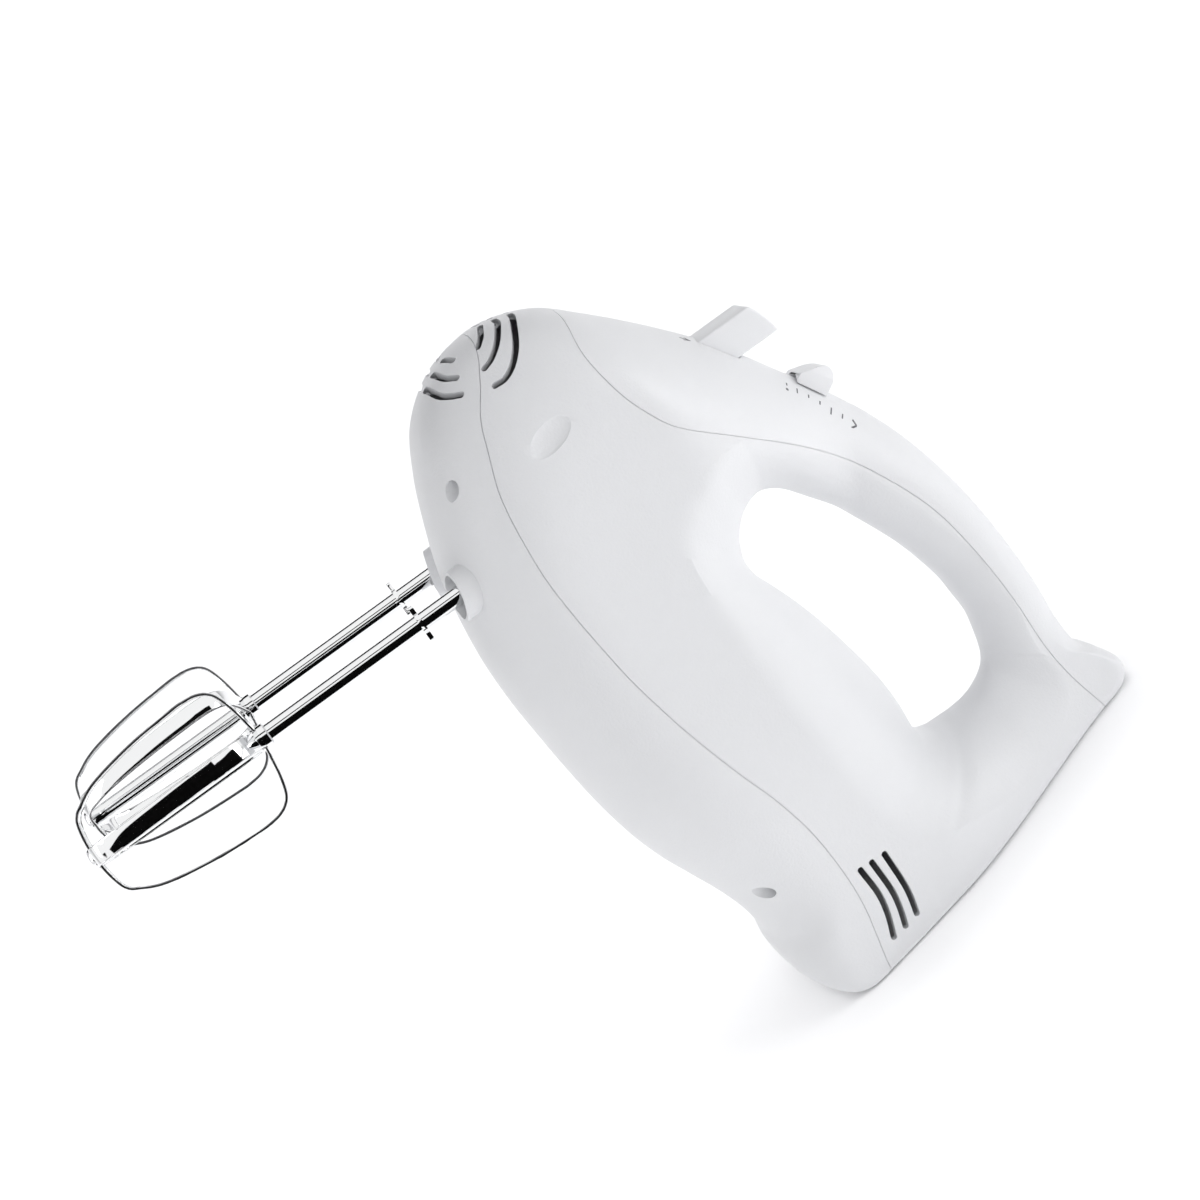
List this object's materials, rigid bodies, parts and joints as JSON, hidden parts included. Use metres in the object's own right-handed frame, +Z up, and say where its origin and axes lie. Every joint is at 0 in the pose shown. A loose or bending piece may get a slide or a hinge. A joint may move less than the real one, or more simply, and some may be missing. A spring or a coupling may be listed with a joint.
{
  "type": "hand mixer",
  "caption": "Hand mixer with a hollow moulded body, looped grip, flat heel to stand on, eject button, speed slide and wire-frame beaters driven by a worm gear motor.",
  "frame": {"origin": "centre of the flat heel face that the mixer stands on", "axes": "-Z out of the heel face, so +Z up as it stands; beaters point to -X, grip towards +X, Y across the body"},
  "size_m": [0.25, 0.086, 0.2167],
  "materials": {
    "housing_white": "satin moulded white with a fine grain",
    "cover_white": "satin moulded white with a fine grain",
    "button_white": "smooth moulded white",
    "bush_white": "moulded white",
    "zinc_steel": "turned and zinc plated",
    "inner_plastic": "plain moulded",
    "wheel_nylon": "moulded nylon",
    "black_plastic": "moulded black",
    "board_green": "board lacquer",
    "capacitor_yellow": "moulded yellow",
    "wire_brown": "wire insulation",
    "wire_red": "wire insulation",
    "frame_dark": "glass-filled moulding",
    "bronze": "sintered bronze",
    "brass": "machined brass",
    "laminated_steel": "stacked sheet steel",
    "copper": "enamelled copper",
    "carbon": "pressed carbon",
    "beater_chrome": "bright chrome plate"
  },
  "bodies": {
    "body": {"lower_housing": "housing_white", "main_housing": "housing_white", "handle_cover": "cover_white", "housing_screws": "zinc_steel", "speed_switch": "black_plastic", "circuit_board": "board_green", "capacitor": "capacitor_yellow", "mains_wires": "wire_brown", "motor_leads": "wire_red", "cord_clamp": "black_plastic", "cord_inlet_bush": "bush_white", "gear_frame": "frame_dark", "gear_cover": "frame_dark", "spindle_bushes": "bronze", "thrust_washers": "zinc_steel", "field_core": "laminated_steel", "field_coils": "copper", "motor_bearings": "bronze", "motor_bracket": "frame_dark", "brush_holders": "brass", "carbon_brushes": "carbon", "brush_springs": "zinc_steel"},
    "armature": {"motor_shaft": "zinc_steel", "worm": "brass", "armature_core": "laminated_steel", "armature_windings": "copper", "commutator": "copper", "cooling_fan": "black_plastic"},
    "left_drive": {"left_worm_wheel": "wheel_nylon", "left_spindle": "zinc_steel"},
    "right_drive": {"right_worm_wheel": "wheel_nylon", "right_spindle": "zinc_steel"},
    "eject": {"eject_button": "button_white", "eject_yoke": "inner_plastic", "eject_spring": "zinc_steel"},
    "left_pin": {"left_eject_pin": "zinc_steel"},
    "right_pin": {"right_eject_pin": "zinc_steel"},
    "left_beater": {"left_beater_shaft": "beater_chrome", "left_beater_blades": "beater_chrome", "left_beater_hub": "beater_chrome", "left_beater_tip": "beater_chrome", "left_beater_stop": "beater_chrome"},
    "right_beater": {"right_beater_shaft": "beater_chrome", "right_beater_blades": "beater_chrome", "right_beater_hub": "beater_chrome", "right_beater_tip": "beater_chrome", "right_beater_stop": "beater_chrome"},
    "speed_slide": {"speed_knob": "button_white"}
  },
  "joints": [
    {"name": "motor_spin", "type": "hinge", "parent": "body", "child": "armature", "pos_m": [-0.02852, 0, 0.16364], "axis": [-0.1736, 0, -0.9848], "continuous": true},
    {"name": "left_spin", "type": "hinge", "parent": "body", "child": "left_drive", "pos_m": [-0.06643, 0.02, 0.17032], "axis": [0.9848, 0, -0.1736], "continuous": true},
    {"name": "right_spin", "type": "hinge", "parent": "body", "child": "right_drive", "pos_m": [-0.06643, -0.02, 0.17032], "axis": [0.9848, 0, -0.1736], "continuous": true},
    {"name": "eject_press", "type": "slide", "parent": "body", "child": "eject", "axis": [-0.9848, 0, 0.1736], "range_m": [0, 0.008], "stiffness_N_per_m": 600, "springref_m": -0.004, "deforming": ["eject_spring"]},
    {"name": "left_pin_slide", "type": "slide", "parent": "left_drive", "child": "left_pin", "axis": [-0.9848, 0, 0.1736], "range_m": [0, 0.008]},
    {"name": "right_pin_slide", "type": "slide", "parent": "right_drive", "child": "right_pin", "axis": [-0.9848, 0, 0.1736], "range_m": [0, 0.008]},
    {"name": "left_beater_pull", "type": "slide", "parent": "left_pin", "child": "left_beater", "axis": [-0.9848, 0, 0.1736], "range_m": [0, 0.045]},
    {"name": "right_beater_pull", "type": "slide", "parent": "right_pin", "child": "right_beater", "axis": [-0.9848, 0, 0.1736], "range_m": [0, 0.045]},
    {"name": "speed_slide_move", "type": "slide", "parent": "body", "child": "speed_slide", "axis": [0.3584, 0, -0.9336], "range_m": [0, 0.012]}
  ],
  "couplings": [
    {"joint": "left_spin", "follows": "motor_spin", "ratio": -0.064516},
    {"joint": "right_spin", "follows": "motor_spin", "ratio": 0.064516},
    {"joint": "left_pin_slide", "follows": "eject_press", "ratio": 1},
    {"joint": "right_pin_slide", "follows": "eject_press", "ratio": 1}
  ]
}
